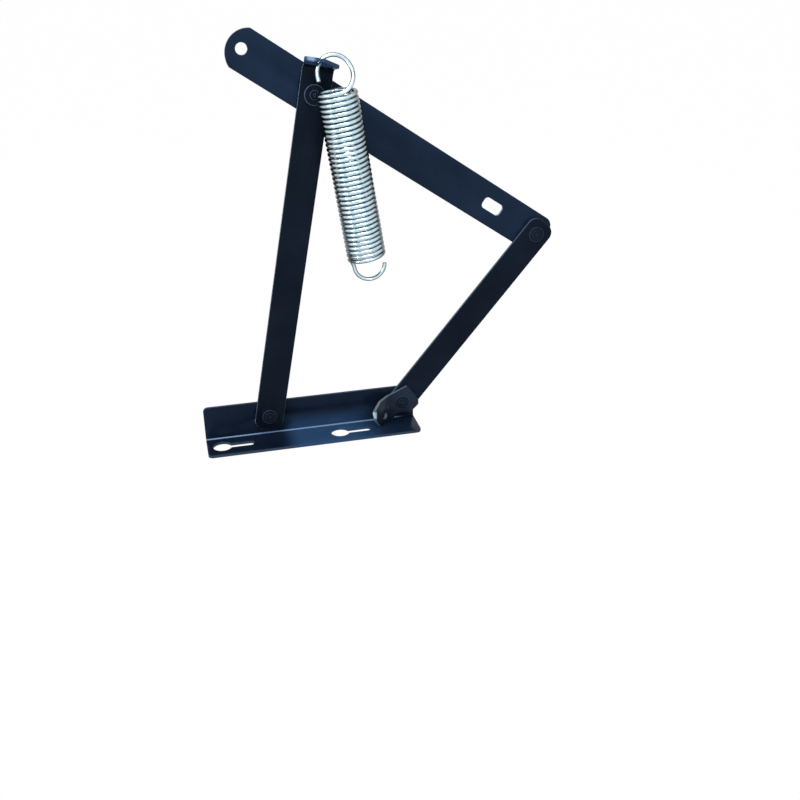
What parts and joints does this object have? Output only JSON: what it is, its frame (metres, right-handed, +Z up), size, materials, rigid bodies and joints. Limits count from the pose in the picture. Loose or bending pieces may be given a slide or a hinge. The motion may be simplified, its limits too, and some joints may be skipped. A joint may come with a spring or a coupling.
{
  "type": "sofa bed hinge",
  "caption": "Four-bar sofa bed hinge: keyholed angle base, two flat swing links, a wide coupler bar with a hole and a slot, and a coiled helper spring on a bent tab.",
  "frame": {"origin": "on the underside of the base angle's floor leg, midway along its length and midway across its 40 mm depth", "axes": "+X along the base towards the short link's end, +Z up from the floor leg, -Y towards the side with the spring and the rivet heads"},
  "size_m": [0.3794, 0.0495, 0.4136],
  "materials": {
    "black_gloss_paint": "gloss blue-black stoved paint on pressed steel, thin and shiny on the sheared edges",
    "painted_rivet": "same paint over a spun steel head",
    "painted_weld": "paint over a rippled weld bead",
    "bright_zinc_wire": "bright blue-passivated zinc on drawn spring wire",
    "zinc_washer": "zinc plate"
  },
  "bodies": {
    "base": {"base_angle": "black_gloss_paint", "spring_anchor": "black_gloss_paint", "anchor_weld": "painted_weld", "long_link_base_rivet": "painted_rivet", "short_link_base_rivet": "painted_rivet", "long_link_base_spacer": "zinc_washer", "short_link_base_spacer": "zinc_washer"},
    "long_link": {"long_link": "black_gloss_paint"},
    "coupler": {"coupler_bar": "black_gloss_paint", "top_rivet": "painted_rivet", "top_spacer": "zinc_washer", "far_rivet_tail": "painted_rivet", "far_spacer": "zinc_washer"},
    "short_link": {"short_link": "black_gloss_paint", "far_rivet_head": "painted_rivet"},
    "spring": {"extension_spring": "bright_zinc_wire"}
  },
  "joints": [
    {"name": "long_link_fold", "type": "hinge", "parent": "base", "child": "long_link", "pos_m": [-0.045, 0.0144, 0.024], "axis": [0, -1, 0], "range_deg": [0, 72.1]},
    {"name": "coupler_turn", "type": "hinge", "parent": "long_link", "child": "coupler", "pos_m": [0.01949, 0.0144, 0.35273], "axis": [0, -1, 0], "range_deg": [-38.5, 0]},
    {"name": "short_link_swing", "type": "hinge", "parent": "base", "child": "short_link", "pos_m": [0.1, 0.0144, 0.024], "axis": [0, -1, 0], "range_deg": [0, 85.3]},
    {"name": "spring_swing", "type": "hinge", "parent": "long_link", "child": "spring", "pos_m": [0.03453, -0.0096, 0.37443], "axis": [0, -1, 0], "range_deg": [-15.2, 0]}
  ],
  "couplings": [
    {"joint": "coupler_turn", "follows": "long_link_fold", "ratio": -0.53226},
    {"joint": "short_link_swing", "follows": "long_link_fold", "ratio": 1.1819},
    {"joint": "spring_swing", "follows": "long_link_fold", "ratio": -0.21}
  ]
}
